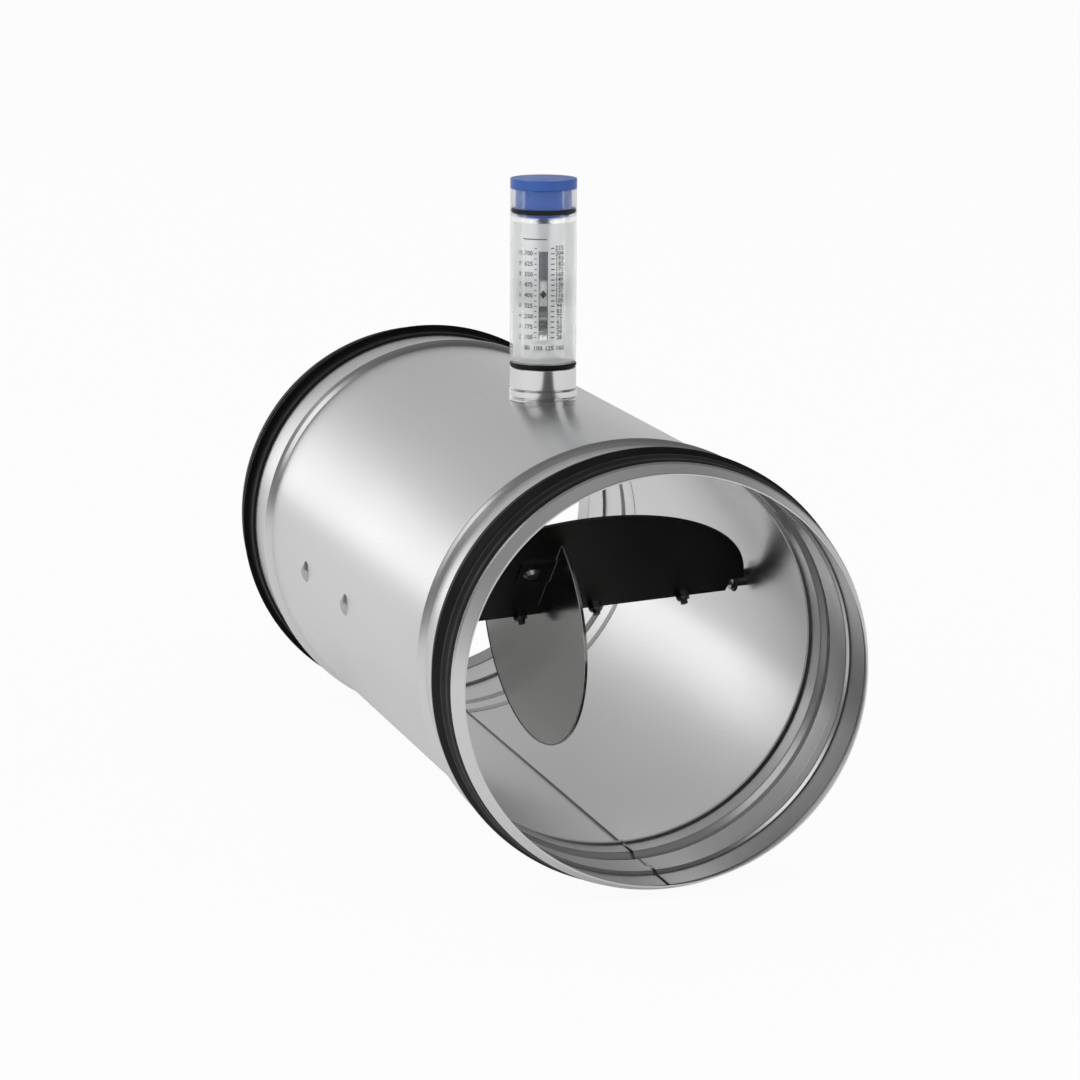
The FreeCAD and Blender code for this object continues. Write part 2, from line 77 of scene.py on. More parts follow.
shell_low, shell_high = box("body_shell")
shell_radius = (shell_high.x - shell_low.x) / 2
tube_low, tube_high = box("scale_tube")
tube_y = (tube_low.y + tube_high.y) / 2
tube_bottom = tube_low.z + TUBE_FOOT
inlet_edge = box("inlet_spigot")[0].y
outlet_edge = box("outlet_spigot")[1].y
print("shell radius", round(shell_radius, 4), "tube axis at y", round(tube_y, 4))

# %% [markdown]
# ## The camera
# A product photo like this is taken with a long lens from the left, a little above the duct. We give
# the camera as a turn about the upright, a height angle and a distance from a point near the tube.

# %% Place the camera
CAMERA_TURN = math.radians(-15.77)
CAMERA_RISE = math.radians(10.79)
CAMERA_ROLL = math.radians(-0.22)
CAMERA_DISTANCE = 1.78893
AIM = Vector((4.28 * MM, tube_y + 18.5 * MM, 17.83 * MM))
LENS = 147.31

camera_data = bpy.data.cameras.new("camera")
camera_data.lens = LENS
camera_data.sensor_width = 36
camera_data.clip_start = 0.05
camera = bpy.data.objects.new("camera", camera_data)
bpy.context.scene.collection.objects.link(camera)
backward = Vector((math.sin(CAMERA_TURN) * math.cos(CAMERA_RISE),
                   -math.cos(CAMERA_TURN) * math.cos(CAMERA_RISE), math.sin(CAMERA_RISE)))
camera.location = AIM + backward * CAMERA_DISTANCE
facing = (-backward).to_track_quat("-Z", "Y")
facing.rotate(Quaternion(backward, -CAMERA_ROLL))
camera.rotation_mode = "QUATERNION"
camera.rotation_quaternion = facing
bpy.context.scene.camera = camera
print("camera at", [round(c, 3) for c in camera.location])

# %% [markdown]
# ## Helpers for materials
# Each finish is a small node tree around one Principled shader. The helpers make the tree, add a
# noise that lives in the model's own space (so it never slides with the view), and spread that noise
# over a colour or a roughness.

# %% Material helpers


def new_finish(name, colour, metal=0.0, rough=0.4):
    """A material with its Principled shader; returns the material, its tree and the shader."""
    material = bpy.data.materials.new(name)
    material.use_nodes = True
    tree = material.node_tree
    shader = tree.nodes["Principled BSDF"]
    shader.inputs["Base Color"].default_value = (*colour, 1)
    shader.inputs["Metallic"].default_value = metal
    shader.inputs["Roughness"].default_value = rough
    return material, tree, shader


def noise(tree, scale, detail=3.0, stretch=(1, 1, 1)):
    """Noise in object space; stretch squeezes it along an axis to make streaks."""
    place = tree.nodes.new("ShaderNodeTexCoord")
    mapping = tree.nodes.new("ShaderNodeMapping")
    mapping.inputs["Scale"].default_value = stretch
    texture = tree.nodes.new("ShaderNodeTexNoise")
    texture.inputs["Scale"].default_value = scale
    texture.inputs["Detail"].default_value = detail
    tree.links.new(place.outputs["Object"], mapping.inputs["Vector"])
    tree.links.new(mapping.outputs["Vector"], texture.inputs["Vector"])
    return texture.outputs["Fac"]


def spread(tree, source, low, high, start=0.3, end=0.7):
    """Map a 0 to 1 texture onto a number range."""
    ranges = tree.nodes.new("ShaderNodeMapRange")
    ranges.inputs["From Min"].default_value = start
    ranges.inputs["From Max"].default_value = end
    ranges.inputs["To Min"].default_value = low
    ranges.inputs["To Max"].default_value = high
    tree.links.new(source, ranges.inputs["Value"])
    return ranges.outputs["Result"]


def tint(tree, shader, source, dark, light, start=0.3, end=0.7):
    """Let a texture run the base colour from dark to light."""
    ramp = tree.nodes.new("ShaderNodeValToRGB")
    ramp.color_ramp.elements[0].position = start
    ramp.color_ramp.elements[1].position = end
    ramp.color_ramp.elements[0].color = (*dark, 1)
    ramp.color_ramp.elements[1].color = (*light, 1)
    tree.links.new(source, ramp.inputs["Fac"])
    tree.links.new(ramp.outputs["Color"], shader.inputs["Base Color"])


def relief(tree, shader, source, distance, strength=1.0):
    """Let a texture raise the surface by a distance in metres."""
    bump = tree.nodes.new("ShaderNodeBump")
    bump.inputs["Distance"].default_value = distance
    bump.inputs["Strength"].default_value = strength
    tree.links.new(source, bump.inputs["Height"])
    tree.links.new(bump.outputs["Normal"], shader.inputs["Normal"])


# %% [markdown]
# ## Galvanised sheet
# Zinc-coated duct sheet is a soft mirror: bright, a little cloudy, with faint long streaks from the
# rolling mill. A metal shader with a cloudy roughness does it; the seam is a darker, duller line. Two
# darker copies of sheet are painted shade: the inside of the inlet, and the damper blade.

# %% Make the sheet finishes


def sheet_finish(name, dark, light, rough_low, rough_high):
    """Satin zinc sheet between two greys, with a cloudy roughness."""
    material, tree, shader = new_finish(name, light, metal=1.0)
    tint(tree, shader, noise(tree, 11.0, 2.0, (1, 0.35, 1)), dark, light)
    tree.links.new(spread(tree, noise(tree, 14.0, 1.0, (1, 0.4, 1)), rough_low, rough_high),
                   shader.inputs["Roughness"])
    return material


zinc = sheet_finish("galvanised_sheet", (0.78, 0.782, 0.785), (0.85, 0.852, 0.855), 0.26, 0.31)
bright_metal = sheet_finish("bright_collar", (0.86, 0.862, 0.865), (0.93, 0.932, 0.935), 0.12, 0.18)
# The damper blade sheet is painted near black: painted shade for its underside, which faces away from the
# light.
painted_shade_blade_metal = sheet_finish("blade_sheet_painted_shade", (0.07, 0.068, 0.064), (0.105, 0.1, 0.096), 0.36, 0.44)
plate_metal = sheet_finish("plate_sheet", (0.26, 0.26, 0.245), (0.34, 0.34, 0.325), 0.16, 0.22)
steel = sheet_finish("zinc_plated_steel", (0.42, 0.43, 0.44), (0.58, 0.59, 0.6), 0.22, 0.34)
# A darker copy of the zinc: painted shade for the inside of the inlet.
painted_shade_zinc = sheet_finish("inside_painted_shade", (0.42, 0.42, 0.42), (0.52, 0.52, 0.52), 0.2, 0.26)
seam_metal = sheet_finish("weld_seam", (0.13, 0.13, 0.128), (0.2, 0.2, 0.198), 0.4, 0.5)
print("sheet finishes ready")

# %% [markdown]
# ## Rubber and plastics
# The seals are matt black rubber with little shine. The cap is a saturated blue moulding, the tube
# clear and polished, the label a pale film that lets the nut behind it show. A low alpha lets the
# light of the lamps through the tube, so that the label inside it stays bright.

# %% Make the rubber and plastic finishes


def moulded_finish(name, dark, light, rough_low, rough_high, grain):
    """Moulded material with a slightly uneven colour and sheen and a fine grain."""
    material, tree, shader = new_finish(name, light)
    tint(tree, shader, noise(tree, 60.0), dark, light)
    tree.links.new(spread(tree, noise(tree, 120.0), rough_low, rough_high), shader.inputs["Roughness"])
    relief(tree, shader, noise(tree, 900.0), grain)
    return material, shader


rubber, rubber_shader = moulded_finish("seal_rubber", (0.006, 0.006, 0.006), (0.011, 0.011, 0.011),
                                       0.45, 0.6, 0.03 * MM)
rubber_shader.inputs["Specular IOR Level"].default_value = 0.25
blue = moulded_finish("blue_cap", (0.04, 0.13, 0.50), (0.055, 0.17, 0.6), 0.3, 0.42, 0.02 * MM)[0]
# A white finish for thin edges: a painted highlight, used on the curl of the inlet and on the edge of the
# balance plate.
painted_edge_highlight = moulded_finish("painted_edge_highlight", (0.75, 0.75, 0.75), (0.85, 0.85, 0.85), 0.3, 0.4, 0.01 * MM)[0]
white = moulded_finish("white_nut", (0.78, 0.78, 0.77), (0.86, 0.86, 0.85), 0.35, 0.5, 0.02 * MM)[0]
grey_plastic = moulded_finish("grey_bush", (0.05, 0.05, 0.05), (0.09, 0.09, 0.09), 0.35, 0.5, 0.03 * MM)[0]
ink = moulded_finish("label_ink", (0.02, 0.02, 0.022), (0.05, 0.05, 0.055), 0.4, 0.6, 0.01 * MM)[0]
film, film_shader = moulded_finish("label_film", (0.88, 0.885, 0.89), (0.94, 0.945, 0.95),
                                   0.3, 0.45, 0.01 * MM)
film_shader.inputs["Alpha"].default_value = 0.75

clear, clear_tree, clear_shader = new_finish("clear_tube", (0.97, 0.985, 0.99), rough=0.04)
clear_shader.inputs["Transmission Weight"].default_value = 1.0
clear_shader.inputs["IOR"].default_value = 1.49
clear_shader.inputs["Alpha"].default_value = 0.4
clear_tree.links.new(spread(clear_tree, noise(clear_tree, 50.0), 0.02, 0.07),
                     clear_shader.inputs["Roughness"])
print("moulded finishes ready")

# %% [markdown]
# ## Dress the pieces that already have their shape
# The solid model has most pieces in their true form. They only need their finish, which goes into
# the material slot of each mesh.

# %% Give each piece its finish
FINISHES = {
    zinc: ["body_shell", "inlet_spigot", "outlet_spigot"],
    bright_metal: ["tube_collar"],
    # The damper blade and its bracket take the near-black sheet, the painted shade of the blade's
    # underside.
    painted_shade_blade_metal: ["damper_blade", "bearing_bracket"],
    plate_metal: ["balance_plate"],
    steel: ["adjusting_spindle", "tension_spring", "pull_rod", "blade_shaft", "blade_screws",
            "plate_rivets", "shaft_clips", "bracket_rivets"],
    rubber: ["inlet_seal", "outlet_seal", "lower_o_ring", "upper_o_ring"],
    blue: ["adjusting_cap"],
    white: ["pointer_nut", "spring_plug"],
    grey_plastic: ["right_bush", "left_bush"],
    film: ["scale_label"],
    clear: ["scale_tube"],
}
for finish, names in FINISHES.items():
    for name in names:
        slots = nodes[name].data.materials
        slots.clear()
        slots.append(finish)
print("dressed", sum(len(names) for names in FINISHES.values()), "pieces")

# %% [markdown]
# ## Helpers for new pieces
# Some pieces need a finer shape than the solid model has. Each is a mesh made from points and faces.
# Many are rings: a closed outline of points is turned about an axis, and faces join each copy of it
# to the next one. Real pieces have no sharp corners, so the outlines are softened first: each corner
# makes way for points at a few multiples of the cut, and a cut takes less than a quarter of a side.

# %% Mesh helpers
CORNER_CUT = 0.3 * MM
CORNER_STEPS = (2, 1, 0.35)
MOST_OF_A_SIDE = 0.24


def add_piece(name, points, faces, finish, body):
    """A smooth mesh that moves with a body of the frame."""
    mesh = bpy.data.meshes.new(name)
    mesh.from_pydata([tuple(p) for p in points], [], faces)
    work = bmesh.new()
    work.from_mesh(mesh)
    bmesh.ops.recalc_face_normals(work, faces=work.faces)
    work.to_mesh(mesh)
    work.free()
    mesh.polygons.foreach_set("use_smooth", [True] * len(mesh.polygons))
    mesh.materials.append(finish)
    piece = bpy.data.objects.new(name, mesh)
    bpy.context.scene.collection.objects.link(piece)
    if body:
        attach(piece, body)
    return piece


def rounded(outline, cut):
    """Soften the corners of a closed outline; points further along each side keep the flats flat."""
    softer = []
    for i, here in enumerate(outline):
        before, after = outline[i - 1], outline[(i + 1) % len(outline)]
        for other, steps in ((before, CORNER_STEPS), (after, CORNER_STEPS[::-1])):
            run = math.hypot(other[0] - here[0], other[1] - here[1])
            for step in steps:
                share = step * min(cut / run, MOST_OF_A_SIDE)
                softer.append((here[0] + (other[0] - here[0]) * share,
                               here[1] + (other[1] - here[1]) * share))
    return softer


def band_faces(rings, count, closed=True):
    """Faces between each ring of points and the next; a closed band joins the last to the first."""
    faces = []
    for i in range(rings if closed else rings - 1):
        here, there = i * count, (i + 1) % rings * count
        for k in range(count):
            following = (k + 1) % count
            faces.append((here + k, here + following, there + following, there + k))
    return faces


def ring_about_duct(name, outline, finish, segments=192):
    """Turn a closed outline of (radius, place) points about the duct axis."""
    points = []
    for i in range(segments):
        angle = 2 * math.pi * i / segments
        for radius, place in outline:
            points.append((radius * math.cos(angle), place, radius * math.sin(angle)))
    return add_piece(name, points, band_faces(segments, len(outline)), finish, "casing")


def ring_about_tube(name, outline, finish, body, segments=96):
    """Turn a closed outline of (radius, height) points about the axis of the scale tube."""
    points = []
    for i in range(segments):
        angle = 2 * math.pi * i / segments
        for radius, height in outline:
            points.append((radius * math.cos(angle), tube_y + radius * math.sin(angle), height))
    return add_piece(name, points, band_faces(segments, len(outline)), finish, body)


# %% [markdown]
# ## Soft lips for the seals
# A seal is a thin band of rubber with two lips that lean away from the open edge. The band runs on
# over the groove of the spigot, and the high lip stands a little further back than in the solid
# model. The outlet seal is the same ring, turned round.

# %% Make the seals
BAND = 1.0 * MM
GROOVE_DEPTH = 1.0 * MM
LOW_LIP = 1.9 * MM
HIGH_LIP = 3.3 * MM


def seal_outline(open_side, step):
    """Outline of a seal from its end at the open side; step is +1 or -1 along the duct."""
    base = shell_radius
    groove, band = base - GROOVE_DEPTH, base + BAND
    low_lip, high_lip = base + LOW_LIP, base + HIGH_LIP
    spots = [(groove, 26.0), (groove, 18.6), (base, 17.6), (base, 0.0), (base + 0.1 * MM, 0.0),
             (band, 2.5), (band, 5.4), (low_lip, 8.0), (low_lip, 9.2), (band, 8.7),
             (band, 13.4), (high_lip, 16.0), (high_lip, 17.2), (band, 16.7), (band, 26.0)]
    return [(radius, open_side + step * place * MM) for radius, place in spots]


seal_ends = [("inlet_seal", box("inlet_seal")[0].y, 1), ("outlet_seal", box("outlet_seal")[1].y, -1)]
for name, end, step in seal_ends:
    seal = ring_about_duct(name + "_soft", rounded(seal_outline(end, step), CORNER_CUT), rubber)
    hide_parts(name)
print("seals rounded")

# %% [markdown]
# ## Spigots with pressed folds
# Each spigot is one sheet with a tapered lead-in, a crease, a shallow groove, a stop bead and a sleeve
# inside the casing. Sheet has no sharp folds, so the outline is softened before it is turned. The
# sleeve of the inlet curls inwards at its end, with a dark line behind it; a thin white ring on the curl
# is a painted highlight.
# The inside of the inlet is painted darker than the outside, as painted shade: its faces are those that
# look at the axis.

# %% Make the spigots
SHEET = 0.7 * MM
FACES_THE_AXIS = 0.9506
CURL_HIGHLIGHT_WIRE = 0.4 * MM


def spigot_wall(edge, step, bead, curl):
    """Outer side of the sheet from the open edge inwards; bead is the place of the stop bead."""
    spots = [(-2.4, 0.0), (-0.1, 7.0), (0.5, 8.0), (0.0, 8.8), (0.0, 25.1), (-1.1, 26.3), (-1.1, 33.0),
             (0.0, 34.2), (0.0, bead - 4.4), (1.2, bead - 2.3), (2.3, bead - 0.7), (2.3, bead + 0.7),
             (1.2, bead + 2.3), (-0.75, bead + 4.4), (-0.75, bead + 14.0), (-0.75 - curl, bead + 17.0)]
    return [(shell_radius + rise * MM, edge + step * place * MM) for rise, place in spots]


def inner_side(wall):
    """The inner side of a sheet, from its outer side."""
    return [(radius - SHEET, place) for radius, place in wall]


def folded_spigot(name, wall):
    """The ring of sheet that takes the place of a solid spigot."""
    outline = rounded(wall + inner_side(reversed(wall)), CORNER_CUT)
    folded = ring_about_duct(name + "_folded", outline, zinc)
    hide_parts(name)
    return folded


inlet_wall = spigot_wall(inlet_edge, 1, 51.6, 1.1)
outlet_wall = spigot_wall(outlet_edge, -1, 62.6, -0.65)
inlet_folded = folded_spigot("inlet_spigot", inlet_wall)
folded_spigot("outlet_spigot", outlet_wall)

# Faces of the inlet that look at the axis take the darker copy of the zinc: painted shade for the inside
# of the duct.
inlet_folded.data.materials.append(painted_shade_zinc)
for polygon in inlet_folded.data.polygons:
    outwards = polygon.normal.x * polygon.center.x + polygon.normal.z * polygon.center.z
    behind_edge = polygon.center.y > inlet_edge + 1.0 * MM
    polygon.material_index = int(behind_edge and outwards < -FACES_THE_AXIS * shell_radius)

# A white ring laid on the curled end of the inlet sleeve: a painted highlight.
curl_radius = shell_radius - 2.3 * MM
curl_place = inlet_wall[-1][1] - 0.5 * MM
curl_highlight_outline = [(curl_radius + CURL_HIGHLIGHT_WIRE * math.cos(i * math.pi / 4),
             curl_place + CURL_HIGHLIGHT_WIRE * math.sin(i * math.pi / 4)) for i in range(8)]
ring_about_duct("curl_painted_highlight", curl_highlight_outline, painted_edge_highlight)
print("spigots folded")

# %% [markdown]
# ## The weld seam
# The seam runs along the whole inside, over every fold, as a flat darker line; inside the inlet it takes
# the painted shade of the inlet's inside instead. Its cross-section is given by four points: the share of
# its half width, and the height above the sheet in mm.

# %% Make the seam
SEAM_ANGLE = math.radians(-87.5)
SEAM_HALF = 0.85 * MM
SEAM_RISE = 0.35 * MM
SEAM_SECTION = [(-1, -0.1), (-0.6, 0.15), (0.6, 0.15), (1, -0.1)]


def seam_strip(name, spots, finish):
    """A thin raised strip along the seam, laid on (radius, place) points of the inner wall."""
    points, faces = [], []
    half = SEAM_HALF / shell_radius
    for radius, place in spots:
        for share, lift in SEAM_SECTION:
            angle = SEAM_ANGLE + share * half
            reach = radius - lift * MM
            points.append((reach * math.cos(angle), place, reach * math.sin(angle)))
    for i in range(len(spots) - 1):
        for k in range(3):
            a = i * 4 + k
            faces.append((a, a + 1, a + 5, a + 4))
    add_piece(name, points, faces, finish, "casing")


ridge_top = shell_radius - SHEET - SEAM_RISE
casing_wall = [(ridge_top, inlet_wall[-1][1] + 0.4 * MM), (ridge_top, outlet_wall[-1][1] - 0.4 * MM)]
seam_strip("seam_line", casing_wall + inner_side(reversed(outlet_wall)), seam_metal)
# Inside the inlet the seam takes the darker inside copy of the zinc, the painted shade, instead of the
# seam colour.
seam_strip("inlet_seam", inner_side(inlet_wall), painted_shade_zinc)
print("seam ready")

# %% [markdown]
# ## Painted highlight on the edge of the balance plate
# The cut edge of the plate gets a painted highlight. We follow the rim of its front face and lay a fine
# bead of white finish on it, full on the right side and hair-thin on the left.

# %% Paint a highlight on the plate edge
SAME_DIRECTION = 0.998


def face_rim(name, facing):
    """The longest rim of the largest flat face of a piece that looks towards a side, and its normal."""
    piece = nodes[name]
    work = bmesh.new()
    work.from_mesh(piece.data)
    work.transform(piece.matrix_world)
    work.normal_update()
    areas = {}
    for face in work.faces:
        if face.normal.dot(facing) > 0:
            key = tuple(round(c, 2) for c in face.normal)
            areas[key] = areas.get(key, 0) + face.calc_area()
    flat = Vector(max(areas, key=areas.get)).normalized()
    kept = {face for face in work.faces if face.normal.dot(flat) > SAME_DIRECTION}
    edges = [edge for edge in work.edges if sum(face in kept for face in edge.link_faces) == 1]
    rims = []
    while edges:
        first = edges.pop()
        rim = [first.verts[0], first.verts[1]]
        while rim[-1] is not rim[0]:
            found = next((edge for edge in edges if rim[-1] in edge.verts), None)
            if found is None:
                break
            edges.remove(found)
            rim.append(found.other_vert(rim[-1]))
        rims.append([vert.co.copy() for vert in rim[:-1]])
    work.free()
    return max(rims, key=len), flat


def highlight_bead(name, rim, normal, full_size, finish, body, sides=8):
    """A painted highlight: a white bead along a closed rim, full on the right side and hair-thin on the
    left.
    """
    points = []
    middle = sum(rim, Vector()) / len(rim)
    for spot in rim:
        out = (spot - middle).normalized()
        size = full_size * min(1.0, max(0.1, 2 * out.x + 0.4))
        for k in range(sides):
            turn = 2 * math.pi * k / sides
            points.append(spot - out * size * 0.6 + out * size * math.cos(turn)
                          + normal * size * math.sin(turn))
    add_piece(name, points, band_faces(len(rim), sides), finish, body)


plate_rim, plate_normal = face_rim("balance_plate", backward)
# The white bead is a painted highlight on the plate's cut edge.
highlight_bead("plate_painted_highlight", plate_rim, plate_normal, 0.6 * MM, painted_edge_highlight, "damper")
print("plate rim points", len(plate_rim))

# %% [markdown]
# ## Flange of the right bush
# The shaft turns in a plastic bush at each side. The right one shows a round flange at its inner end,
# given by (radius, place along the tilted shaft) in mm.

# %% Make the flange
SHAFT_TILT = math.radians(4)
FLANGE = [(2.6, 73.7), (4.8, 73.7), (5.2, 74.1), (5.2, 74.6), (4.8, 75.0), (2.6, 75.0)]
FLANGE_SEGMENTS = 48
shaft_along = Vector((math.cos(SHAFT_TILT), 0, math.sin(SHAFT_TILT)))
shaft_up = Vector((-math.sin(SHAFT_TILT), 0, math.cos(SHAFT_TILT)))
shaft_low, shaft_high = box("blade_shaft")
shaft_middle = (shaft_low + shaft_high) / 2
flange_points = []
for i in range(FLANGE_SEGMENTS):
    angle = 2 * math.pi * i / FLANGE_SEGMENTS
    out = shaft_up * math.cos(angle) + Vector((0, 1, 0)) * math.sin(angle)
    for radius, place in FLANGE:
        flange_points.append(shaft_middle + out * radius * MM + shaft_along * place * MM)
flange_faces = band_faces(FLANGE_SEGMENTS, len(FLANGE))
add_piece("bush_flange", flange_points, flange_faces, grey_plastic, "casing")
print("flange points", len(flange_points))

# %% [markdown]
# ## The tube, its neck and the cap
# These are turned about the tube axis. The neck is a straight drawn tube with two fine grooves. The
# cap has a thin disc and a tapered plug, and its rubber ring touches the wall of the tube.

# %% Turn the tube pieces
neck_top = box("tube_collar")[1].z
cap_top = box("adjusting_cap")[1].z
ring_low, ring_high = box("upper_o_ring")
ring_place = (ring_low.z + ring_high.z) / 2
disc_low = cap_top - 4.0 * MM
wall_top = disc_low - 0.2 * MM
floor_top = tube_bottom + 2 * MM
RING_REACH = 11.9
RING_WIRE = 1.0


def turned(name, replaced, spots, finish, body, cut=0.25):
    """A piece turned about the tube axis, from (radius in mm, height in metres) points."""
    outline = rounded([(radius * MM, height) for radius, height in spots], cut * MM)
    piece = ring_about_tube(name, outline, finish, body)
    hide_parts(replaced)


turned("clear_wall", "scale_tube", [
    (10.15, tube_low.z), (11.25, tube_low.z), (11.25, tube_bottom), (13.2, tube_bottom),
    (13.2, wall_top), (12.0, wall_top), (12.0, floor_top), (10.15, floor_top)], clear, "casing", 0.15)
turned("straight_neck", "tube_collar", [
    (11.3, neck_top - 13.3 * MM), (13.5, neck_top - 13.3 * MM), (13.5, neck_top - 12.3 * MM),
    (13.0, neck_top - 11.9 * MM), (13.5, neck_top - 11.5 * MM), (13.5, neck_top - 9.0 * MM),
    (12.9, neck_top - 8.6 * MM), (13.2, neck_top - 8.2 * MM), (13.2, neck_top - 0.3 * MM),
    (12.9, neck_top), (11.3, neck_top)], bright_metal, "casing", 0.2)
turned("thin_cap", "adjusting_cap", [
    (0.05, ring_place - 3.2 * MM), (7.0, ring_place - 3.0 * MM), (10.2, ring_place - 2.2 * MM),
    (11.1, ring_place - 1.0 * MM), (11.1, disc_low), (13.2, disc_low), (13.2, cap_top), (0.05, cap_top)],
    blue, "cap", 0.5)
wire = [(RING_REACH + RING_WIRE * math.cos(i * math.pi / 6),
         ring_place + RING_WIRE * MM * math.sin(i * math.pi / 6)) for i in range(12)]
turned("wide_ring", "upper_o_ring", wire, rubber, "cap", 0.1)
print("tube pieces turned")

# %% [markdown]
# ## A real thread on the spindle
# The solid spindle is a plain rod. A thread is a ridge that climbs as it goes round: each point's
# height and angle together say whether it lies on a crest or in a root.

# %% Make the threaded spindle
PITCH = 1.5 * MM
THREAD_DEPTH = 0.6 * MM


def threaded_rod(name, radius, low, high, segments=32, rows_a_turn=8):
    """A rod along Z on the tube axis with a triangular thread and a thinner lowest turn."""
    rows = int((high - low) / PITCH * rows_a_turn)
    points = []
    for row in range(rows + 1):
        height = low + (high - low) * row / rows
        taper = min(1.0, row / rows_a_turn)
        for s in range(segments):
            phase = ((height - low) / PITCH - s / segments) % 1
            dip = abs(2 * phase - 1) * THREAD_DEPTH + (1 - taper) * THREAD_DEPTH
            angle = 2 * math.pi * s / segments
            reach = radius - dip
            points.append((reach * math.cos(angle), tube_y + reach * math.sin(angle), height))
    faces = band_faces(rows + 1, segments, closed=False)
    faces.append(tuple(reversed(range(segments))))
    faces.append(tuple(rows * segments + s for s in range(segments)))
    return add_piece(name, points, faces, steel, "cap")


spindle_low, spindle_high = box("adjusting_spindle")
spindle_radius = (spindle_high.x - spindle_low.x) / 2
spindle = threaded_rod("threaded_spindle", spindle_radius, spindle_low.z, spindle_high.z)
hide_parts("adjusting_spindle")
print("spindle faces", len(spindle.data.polygons))

# %% [markdown]
# ## The tension spring
# The end coils of the spring lie tight on the nut's neck and on the plug; the coils between are open.
# The plug pulls the lower end down and the nut lifts the upper end, so the spring is made as two
# halves, each from the middle to one end.

# %% Make the spring in two halves
WIRE = 0.45 * MM
TIGHT_STEP = 2.05 * WIRE
GRIP_TURNS = 3
OPEN_TURNS = 4


def coil(name, start, end, radius, steps=24, sides=10):
    """Half a spring from the middle (start) to its grip (end), with tight coils at the grip."""
    points = []
    way = 1 if end > start else -1
    grip_length = GRIP_TURNS * TIGHT_STEP
    open_length = abs(end - start) - grip_length
    total = (GRIP_TURNS + OPEN_TURNS) * steps
    for i in range(total + 1):
        turns = i / steps
        if turns < OPEN_TURNS:
            height = start + way * open_length * turns / OPEN_TURNS
        else:
            height = start + way * (open_length + (turns - OPEN_TURNS) * TIGHT_STEP)
        angle = way * 2 * math.pi * turns
        out = Vector((math.cos(angle), math.sin(angle), 0))
        centre = Vector((0, tube_y, height)) + out * radius
        for k in range(sides):
            turn = 2 * math.pi * k / sides
            points.append(centre + out * (WIRE * math.cos(turn)) + Vector((0, 0, WIRE * math.sin(turn))))
    faces = band_faces(total + 1, sides, closed=False)
    faces.append(tuple(range(sides)))
    faces.append(tuple(total * sides + k for k in range(sides)))
    half = add_piece(name, points, faces, steel, None)
    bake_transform(half)
    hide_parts("tension_spring")


spring_low, spring_high = box("tension_spring")
spring_middle = (spring_low.z + spring_high.z) / 2
spring_radius = (spring_high.x - spring_low.x) / 2 - WIRE
coil("spring_lower", spring_middle, spring_low.z + WIRE, spring_radius)
coil("spring_upper", spring_middle, spring_high.z - WIRE, spring_radius)
print("spring from", round(spring_low.z, 4), "to", round(spring_high.z, 4))

# %% [markdown]
# ## Helpers for the label
# Film and print are laid out flat and then wrapped round the inside of the tube: the sideways place of
# a point becomes an angle, counted from the side that faces the camera. The print lies a hair's
# breadth in front of the film.

# %% Label helpers
label_low, label_high = box("scale_label")
film_radius = (label_high.x - label_low.x) / 2
PRINT_LIFT = 0.04 * MM


def wrap(name, points, faces, finish, lift=PRINT_LIFT):
    """Lay a flat shape, as (across, height) points, round the side of the film that faces the camera."""
    wrapped = []
    reach = film_radius + lift
    for across, height in points:
        angle = CAMERA_TURN + across / film_radius
        wrapped.append((reach * math.sin(angle), tube_y - reach * math.cos(angle), height))
    return add_piece(name, wrapped, faces, finish, "casing")


def bars(name, places, finish=ink, lift=PRINT_LIFT):
    """Flat bars on the film, each from (left, right, low, high), cut up so that they wrap well."""
    points, faces = [], []
    for left, right, low, high in places:
        cuts = max(1, round((right - left) / (0.8 * MM)))
        for i in range(cuts + 1):
            across = left + (right - left) * i / cuts
            points += [(across, low), (across, high)]
        first = len(points) - 2 * (cuts + 1)
        for i in range(cuts):
            a = first + 2 * i
            faces.append((a, a + 2, a + 3, a + 1))
    return wrap(name, points, faces, finish, lift)


def number_print(name, items, size):
    """Numbers as one flat mesh; items hold (text, across, height) of each number's middle."""
    points, faces = [], []
    for text, across, height in items:
        curve = bpy.data.curves.new("number", "FONT")
        curve.body = text
        curve.size = size
        curve.offset = 0.018 * size
        curve.align_x = "CENTER"
        curve.align_y = "CENTER"
        curve.resolution_u = 2
        holder = bpy.data.objects.new("number", curve)
        bpy.context.scene.collection.objects.link(holder)
        bpy.context.view_layer.update()
        flat = bpy.data.meshes.new_from_object(holder)
        first = len(points)
        points += [(across + v.co.x, height + v.co.y) for v in flat.vertices]
        faces += [tuple(first + i for i in polygon.vertices) for polygon in flat.polygons]
        bpy.data.objects.remove(holder)
        bpy.data.curves.remove(curve)
        bpy.data.meshes.remove(flat)
    wrap(name, points, faces, ink)


print("film radius", round(film_radius, 4))

# %% [markdown]
# ## The label and its print
# The label stands with its window towards the camera. Right of the window a fine scale runs up beside
# long lines, left of it stand two columns of plain numbers beside short ones. A row of numbers runs
# along the foot, and a line along the top.

# %% Make the label and print the scale
WINDOW_HALF = 1.5 * MM
LABEL_HALF = math.radians(100) * film_radius
label_foot = tube_bottom + 0.3 * MM
label_top = label_high.z
window_low = label_low.z + 6 * MM
window_high = label_top - 11 * MM
label = bars("label_film", [
    (-LABEL_HALF, -WINDOW_HALF, label_foot, label_top),
    (WINDOW_HALF, LABEL_HALF, label_foot, label_top),
    (-WINDOW_HALF, WINDOW_HALF, label_foot, window_low),
    (-WINDOW_HALF, WINDOW_HALF, window_high, label_top)], film, 0.0)
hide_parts("scale_label")

